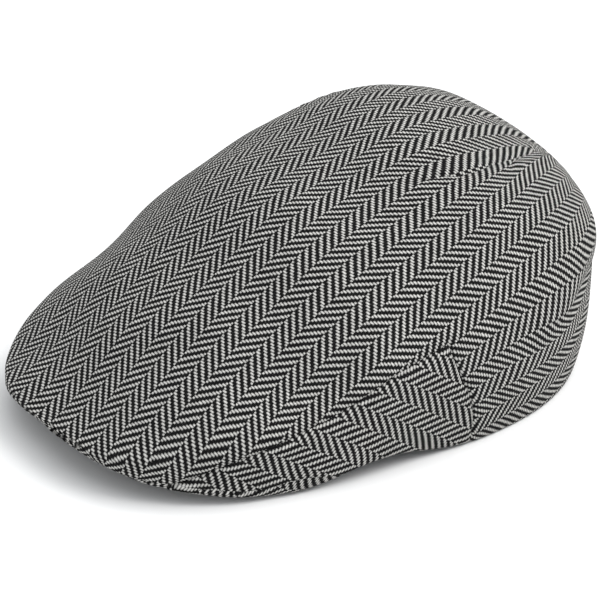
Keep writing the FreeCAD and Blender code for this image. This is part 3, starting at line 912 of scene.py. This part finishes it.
def make_outer():
    points, levels, angles, normal, maps = outer_grid()
    work, layers = grid_mesh(points, levels, maps)
    bmesh.ops.remove_doubles(work, verts=work.verts, dist=CLOSEST_ROWS)
    cut(work, layers, lambda places, levels: gusset_side(places))
    cut(work, layers, strip_side, lambda places: places[:, 1] < -20)
    cut(work, layers, lambda places, levels: dart_side(places),
        lambda places: (places[:, 1] > 0) & (places[:, 2] > -1))
    work.verts.index_update()
    work.normal_update()
    place = np.array([vert.co for vert in work.verts])
    value = np.array([[vert[layer] for layer in layers] for vert in work.verts])
    facing = np.array([vert.normal for vert in work.verts])
    edges = np.array([[vert.index for vert in edge.verts] for edge in work.edges])
    faces = [tuple(vert.index for vert in face.verts) for face in work.faces]
    work.free()
    top = np.argmax(place[:, 2])
    if facing[top, 2] < 0:
        facing = -facing
        faces = [face[::-1] for face in faces]
    middles = np.array([place[list(face)].mean(0) for face in faces])
    middle_levels = np.array([value[list(face), 0].mean() for face in faces])
    kinds = face_kind(middles, middle_levels)
    share = dart_share(place)
    behind = middles[:, 1] > DART_TIP_Y
    inside = dart_side(middles) < 0
    uv_rows = []
    for face, kind, is_behind, is_inside in zip(faces, kinds, behind, inside):
        rows = []
        for index in face:
            if kind in (1, 2):
                rows.append((value[index, 5], value[index, 6]))
                continue
            part = float(is_inside) if is_behind else share[index]
            rows.append((value[index, 1] * (1 - part) + value[index, 3] * part,
                         value[index, 2] * (1 - part) + value[index, 4] * part))
        uv_rows.append(rows)
    raised = raise_cloth(place, value[:, 0], softened(facing, edges))
    on_gusset = np.abs(gusset_side(place)) < 0.02
    on_dart = (np.abs(dart_side(place)) < 0.02) & (place[:, 1] > DART_TIP_Y)
    seams = {"gusset": (raised, facing, on_gusset), "dart": (raised, facing, on_dart)}

    def piece(kind):
        return part_of(faces, kinds == kind, raised, uv_rows)

    crown = write_object("crown", "cap", "tweed", TWEED, *piece(0), ("crown_panel",))
    thicken(crown, CLOTH, edge=TWEED_EDGE)
    for kind, label in ((1, "left"), (2, "right")):
        gusset = write_object("gusset_" + label, "cap", "tweed_gusset", TWEED_GUSSET, *piece(kind),
                              ("side_gusset_" + label,))
        thicken(gusset, CLOTH, edge=TWEED_EDGE)
    return piece(3), seams


def make_under_brim(strip):
    """The cloth under the brim, which turns up round the edge as a narrow strip."""
    reach, grid_angles = disc_grid(GRID)
    round_hem = np.angle(np.exp(1j * grid_angles[reach > 1 - 1e-9]))
    rim = np.unique(np.round(round_hem, 9))
    rim = rim[(rim > math.radians(-156)) & (rim < math.radians(-24))]
    edge = outline(rim)
    ahead = brim_share(rim)
    start = head(rim) * (1 - ahead) + (edge - EDGE_TUCK) * ahead
    base = hem_round(edge, rim)
    finish = np.minimum(head(rim) + 0.4, start - 0.4)
    rows = []
    for part in np.linspace(0, 1, 17):
        radius = start + (finish - start) * part
        sag = 0.5 * np.sin(np.pi * part) + 0.35 * np.exp(-((part - 0.12) / 0.05) ** 2)
        z = base + BRIM_TILT * (start - radius) - sag * smooth((start - finish) / 12)
        rows.append(round_at(radius, rim, z))
    grid = np.array(rows)
    under = sheet_data(grid, grid[..., :2])
    strip_points, strip_faces, _ = strip
    strip_angles = np.arctan2(strip_points[:, 1], strip_points[:, 0])
    toward = np.stack([np.cos(strip_angles), np.sin(strip_angles)], -1)
    above = strip_points[:, 2] - hem_height(*(outline(strip_angles)[:, None] * toward).T)
    unrolled = strip_points[:, :2] + toward * above[:, None]
    flat = [tuple(unrolled[i]) for face in strip_faces for i in face]
    made = write_object("brim_under_cloth", "cap", "tweed_under", TWEED_UNDER,
                        *joined([(strip_points, strip_faces, flat), under]), ("brim_under_cover",))
    work = bmesh.new()
    work.from_mesh(made.data)
    bmesh.ops.remove_doubles(work, verts=work.verts, dist=0.02 * MM)
    bmesh.ops.recalc_face_normals(work, faces=work.faces)
    if sum(face.normal.z * face.calc_area() for face in work.faces) > 0:
        bmesh.ops.reverse_faces(work, faces=work.faces)
    work.to_mesh(made.data)
    work.free()
    thicken(made, 0.9, edge=TWEED_EDGE)


def make_interlining():
    reach, angles = disc_grid(96)
    levels = 1.22 + 0.78 * (1 - reach)
    points = surface(angles, levels)
    points = points - form_normals(angles, levels) * 2.9
    uv = np.concatenate([points[..., :2], points[:, -1:, :2]], 1)
    sheet_object("interlining_dome", "interlining", INTERLINING, points, uv, ("crown_interlining",), 0.5)


# ---- sewing on the crown ----

def seam_path(seam, chosen, order):
    """The chosen points of a seam in order, a little under the outer face."""
    points, facing, on_seam = seam
    chosen = on_seam & chosen
    places = points[chosen]
    outward = facing[chosen]
    turn = np.argsort(order(places))
    places = places[turn]
    outward = outward[turn]
    apart = np.concatenate([[True], np.linalg.norm(np.diff(places, axis=0), axis=1) > 0.2])
    return places[apart] - outward[apart] * 0.55, outward[apart]


def make_seam_threads(seams):
    x, y, z = seams["gusset"][0].T
    for sign, label in ((1, "left"), (-1, "right")):
        aside = x * sign > GUSSET_INNER_X
        on_top = aside & (y < -8) & (y > -124) & (z > 7)
        on_rear = aside & (y >= -8) & (z > 6)
        top, top_out = seam_path(seams["gusset"], on_top, lambda p: p[:, 1])
        rear, rear_out = seam_path(seams["gusset"], on_rear, lambda p: -p[:, 2])
        stitches("gusset_stitches_" + label, np.vstack([top, rear]), np.vstack([top_out, rear_out]),
                 0.22, ("gusset_thread_" + label,))
        on_dart = (x * sign > 5) & (z > 12)
        line, out = seam_path(seams["dart"], on_dart, lambda p: p[:, 1])
        stitches("dart_stitches_" + label, line, out, 0.22, ("dart_thread_" + label,))


# ---- head opening ----

def ring_angles(count=288):
    return np.linspace(0, 2 * np.pi, count, endpoint=False) - np.pi / 2


def band(name, inset, heights, insets, slot, material, stands_for, thickness, ripple):
    """A strip of cloth that stands round the inside of the head opening."""
    angles = ring_angles()
    rows = []
    for height, extra in zip(heights, insets):
        radius = head(angles) - inset - extra
        radius = radius + ripple * np.sin(angles * 23 + 2 * np.sin(angles * 3)) * smooth(height / 20)
        rows.append(round_at(radius, angles, opening_height(angles) + height))
    uv = over_grid(run_lengths(rows[0]), heights)
    sheet_object(name, slot, material, np.array(rows), uv, stands_for, thickness, 0.0, True)


def make_bands():
    band("hem_tape", 0.7, [1.4, 2.5, 5.0, 8.0, 10.4], [0.1, 0, 0, 0, 0.1], "seam_tape", TAPE_TWILL,
         ("head_seam_tape",), 0.6, 0.0)
    heights = [0.9, 0.6, 1.0, 2.0, 4.0, 8.0, 13.0, 18.0, 23.0, 26.5, 28.4]
    insets = [-0.2, 0.0, 0.25, 0.35, 0.1, 0.3, 0.5, 0.5, 0.3, 0.1, -0.05]
    band("sweatband_cloth", 2.3, heights, insets, "sweatband_twill", BAND_TWILL, ("sweatband",), 0.9, 0.16)
    angles = ring_angles(400)
    path = round_at(head(angles) - 3.45, angles, opening_height(angles) + 3.3)
    inward = -round_at(1.0, angles, np.zeros_like(angles))
    stitches("sweatband_stitches", path, inward, 0.24, ("sweatband_thread",))


def make_brim_stitches():
    angles = np.radians(np.linspace(-30, -150, 300))
    edge = outline(angles)
    radius = edge - 5.5
    z = hem_round(edge, angles) + BRIM_TILT * (edge - EDGE_TUCK - radius) - 0.62
    path = round_at(radius, angles, z)
    down = np.broadcast_to([0.0, 0.0, -1.0], path.shape)
    stitches("brim_edge_stitches", path, down, 0.24, ("brim_edge_thread",))


# ---- lining and labels ----

def lining_surface(angle, inward, depth):
    """The lining over the head; inward is 1 at the wall and 0 at the top."""
    wall = head(angle) - LINING_INSET - depth
    rise = np.clip(1 - inward**LINING_POWER, 0, None) ** (1 / LINING_POWER)
    x = wall * np.cos(angle) * inward
    y = wall * np.sin(angle) * inward + CROWN_MIDDLE * (1 - inward)
    start = opening_height(angle) + LINING_START
    z = start + (top_height(x, y) - LINING_DROP - depth - start) * rise
    return np.stack([x, y, z], -1)


def gathered(points, angles, inward):
    """Small folds where the lining's pieces are sewn together."""
    near = np.exp(-(((inward - LINING_TIP) / 0.10) ** 2))
    fold = 0.75 * np.sin(angles * 46 + 1.7 * np.sin(angles * 7)) + 0.4 * np.sin(angles * 29 + 2)
    sunk = -1.1 * np.exp(-(((inward - LINING_TIP) / 0.018) ** 2))
    moved = points.copy()
    moved[..., 2] -= 0.55 * near * (fold + 1.15) - sunk * 0.9
    return moved


def make_lining():
    around = ring_angles(240)
    parts = np.array([LINING_TIP - 0.002, 0.705, 0.68, 0.64, 0.58, 0.5, 0.4, 0.3, 0.2, 0.1, 0.03])
    grid = np.array([gathered(lining_surface(around, part, 0.25), around, part) for part in parts])
    uv = np.concatenate([grid[..., :2], grid[:, :1, :2]], 1)
    points, faces, corners = sheet_data(grid, uv, True)
    last = len(points) - len(around)
    faces.append(tuple(range(last, len(points)))[::-1])
    corners += [tuple(points[i][:2]) for i in range(len(points) - 1, last - 1, -1)]
    top = write_object("lining_crown", "cap", "lining_satin", LINING, points, faces, corners,
                       ("lining_top",))
    thicken(top, 0.4)
    heights = np.array([-14.0, -9.0, -4.0, -0.5])
    sides = np.array([0.999, 0.99, 0.97, 0.94, 0.9, 0.86, 0.82, 0.78, 0.75, 0.735, LINING_TIP + 0.002])
    for sign, label in ((1, "left"), (-1, "right")):
        angles = np.radians(np.linspace(-89.7, 89.7, 140))
        angles = angles if sign > 0 else np.pi - angles
        rows = []
        runs = []
        for height in heights:
            low = lining_surface(angles, 1.0, 0.25)
            low[:, 2] += height
            rows.append(low)
        for part in sides:
            rows.append(gathered(lining_surface(angles, part, 0.25), angles, part))
        grid = np.array(rows)
        pinch = np.exp(-(((np.abs(np.abs(angles) - np.pi / 2)) / 0.03) ** 2))
        grid[..., 2] -= 0.5 * pinch[None] * (np.arange(len(rows)) > 3)[:, None]
        uv = over_grid(run_lengths(grid[0], False), run_lengths(grid[:, 70], False))
        stands_for = ("lining_side_" + label,)
        sheet_object("lining_wall_" + label, "lining_satin", LINING, grid, uv, stands_for, 0.4)


def make_maker_label():
    """A blank woven label sewn to the lining's top."""
    x, v = np.meshgrid(np.linspace(-MAKER_HALF_WIDTH, MAKER_HALF_WIDTH, 31),
                       np.linspace(-MAKER_HALF_LENGTH, MAKER_HALF_LENGTH, 19))
    y = v + CROWN_MIDDLE
    low = np.zeros_like(x)
    high = np.ones_like(x)
    for _ in range(30):
        t = (low + high) / 2
        off = y - CROWN_MIDDLE * (1 - t)
        outside = np.hypot(x, off) > (head(np.arctan2(off, x)) - 1.5) * t
        low = np.where(outside, t, low)
        high = np.where(outside, high, t)
    angle = np.arctan2(y - CROWN_MIDDLE * (1 - low), x)
    grid = lining_surface(angle, low, 1.25)
    grid[..., 0] = x
    grid[..., 1] = y
    border = np.minimum(MAKER_HALF_WIDTH - np.abs(x), MAKER_HALF_LENGTH - np.abs(v))
    grid[..., 2] += 0.25 * np.exp(-((border / 1.2) ** 2)) + 0.12 * np.sin(x / 5.0) * np.sin(v / 4.0)
    uv = np.stack([x, v], -1)
    sheet_object("blank_maker_label", "woven_label", LABEL_WOVEN, grid, uv, ("maker_label",), 0.4)


def make_care_label():
    """The hanging satin label, which swings on its sewn edge."""
    joint = frame["record"]["behaviour"]["joints"][0]
    pivot = np.array(joint["pos_m"]) / MM
    axis = np.array(joint["axis"])
    axis /= np.linalg.norm(axis)
    outward = np.cross(axis, [0, 0, 1.0])
    outward *= np.sign(outward @ pivot)
    across = np.linspace(-CARE_HALF_WIDTH, CARE_HALF_WIDTH, 9)
    turn = np.radians(np.linspace(-60, 180, 9))
    profile = [(-CARE_BEAD * math.cos(t), CARE_BEAD * math.sin(t)) for t in turn]
    hanging = [(0.25 + 0.9 * math.sin(math.pi * s) * s, -CARE_BEAD - CARE_LENGTH * s)
               for s in np.linspace(0.02, 1, 22)]
    rows = []
    for out, up in profile + hanging:
        curl = 0.35 * (across / CARE_HALF_WIDTH) ** 2 * max(-up / 32, 0)
        rows.append(pivot + axis * across[:, None] + outward * (out - curl)[:, None] + np.array([0, 0, up]))
    grid = np.array(rows)
    rising = run_lengths(grid[:, 4], False)
    made = write_object("care_label_blank", "label_flap", "satin_label", LABEL_SATIN,
                        *sheet_data(grid, over_grid(across, rising)), ("care_label",))
    thicken(made, 0.3, 0.0)
    rows = []
    for s in np.linspace(0, 1, 6):
        away = outward * (3.9 * (1 - s) + 0.75 * s)
        rows.append(pivot + axis * across[:, None] + away + np.array([0, 0, 3.2 * (1 - s) ** 2]))
    uv = over_grid(across, np.arange(6.0))
    sheet_object("care_label_root", "satin_label", LABEL_SATIN, np.array(rows), uv, (), 0.3, 0.0)


def make_size_tab():
    """A blank folded tab at the middle of the back."""
    low, high = (np.array(corner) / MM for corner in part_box("size_label"))
    middle = (low + high) / 2
    across = np.linspace(low[0], high[0], 9)
    profile = [(0.35, high[2]), (0.36, high[2] - 4), (0.4, low[2] + 1.5), (0.32, low[2] + 0.5),
               (0.0, low[2]), (-0.32, low[2] + 0.5), (-0.42, low[2] + 1.5), (-0.2, high[2] - 4),
               (0.1, high[2])]
    grid = np.array([np.stack([across, np.full(9, middle[1] + y), np.full(9, z)], -1) for y, z in profile])
    uv = over_grid(across, run_lengths(grid[:, 4], False))
    sheet_object("size_tab_blank", "satin_label", LABEL_SATIN, grid, uv, ("size_label",), 0.25, 0.0)


# ---- the whole cap ----

strip, seams = make_outer()
make_under_brim(strip)
make_interlining()
make_seam_threads(seams)
make_bands()
make_brim_stitches()
make_lining()
make_maker_label()
make_care_label()
make_size_tab()
board = frame["nodes"]["brim_board"]
board.data.materials.clear()
board.data.materials.append(BOARD)


# ---- floor, lights and camera ----

LIT_PLACE = np.array([0, -0.02, 0.04])
SEEN_PLACE = np.array([0, -0.020, 0.045])
SEEN_FROM = 1.1976


def make_floor():
    mesh = bpy.data.meshes.new("floor")
    work = bmesh.new()
    bmesh.ops.create_grid(work, x_segments=4, y_segments=4, size=4.0)
    work.to_mesh(mesh)
    work.free()
    floor = new_object("floor", mesh)
    floor.location.z = -0.0006
    material, tree, shader = new_material("pale_floor", 0.9, 0.1)
    tone = noise(tree, object_place(tree), 3.0)
    colour_between(tree, shader, tone, (0.90, 0.90, 0.90), (0.93, 0.93, 0.93))
    mesh.materials.append(material)


def stand(made, place, right, up, back):
    """Puts a lamp or camera at place, with its own axes along these directions."""
    turn = np.column_stack([right, up, back])
    made.matrix_world = Matrix([[*row, 0] for row in turn] + [[0, 0, 0, 1]])
    made.location = place


def add_lamp(name, place, size, power, colour):
    """A square lamp that faces the cap's middle."""
    lamp = bpy.data.lights.new(name, "AREA")
    lamp.size = size
    lamp.energy = power
    lamp.color = colour
    place = np.array(place)
    back = place - LIT_PLACE
    back = back / np.linalg.norm(back)
    right = np.cross([0, 0, 1.0], back)
    right /= np.linalg.norm(right)
    stand(new_object(name, lamp), place, right, np.cross(back, right), back)


def make_lights():
    world = bpy.data.worlds.new("studio")
    world.use_nodes = True
    background = world.node_tree.nodes["Background"]
    background.inputs["Color"].default_value = (0.96, 0.98, 1.0, 1)
    background.inputs["Strength"].default_value = 0.75
    bpy.context.scene.world = world
    add_lamp("key", (0.55, 1.05, 1.45), 1.7, 27.0, (1.0, 0.99, 0.975))
    add_lamp("top", (0.3, 0.1, 1.9), 2.2, 13.0, (1.0, 1.0, 1.0))


def make_camera():
    """The viewing angle of the cap: from its front left, a little above."""
    azimuth = math.radians(54.51)
    elevation = math.radians(27.49)
    roll = math.radians(1.41)
    back = np.array([math.sin(azimuth) * math.cos(elevation), -math.cos(azimuth) * math.cos(elevation),
                     math.sin(elevation)])
    right = np.array([math.cos(azimuth), math.sin(azimuth), 0])
    up = np.cross(back, right)
    rolled_right = math.cos(roll) * right + math.sin(roll) * up
    rolled_up = math.cos(roll) * up - math.sin(roll) * right
    lens = bpy.data.cameras.new("camera")
    lens.lens = 172.45
    lens.sensor_width = 36.0
    lens.clip_start = 0.05
    lens.shift_x = -0.0036667
    lens.shift_y = -0.0388333
    made = new_object("camera", lens)
    stand(made, SEEN_PLACE + back * SEEN_FROM, rolled_right, rolled_up, back)
    bpy.context.scene.camera = made


make_floor()
make_lights()
make_camera()
bpy.context.scene.view_settings.view_transform = "Standard"

bpy.context.view_layer.update()
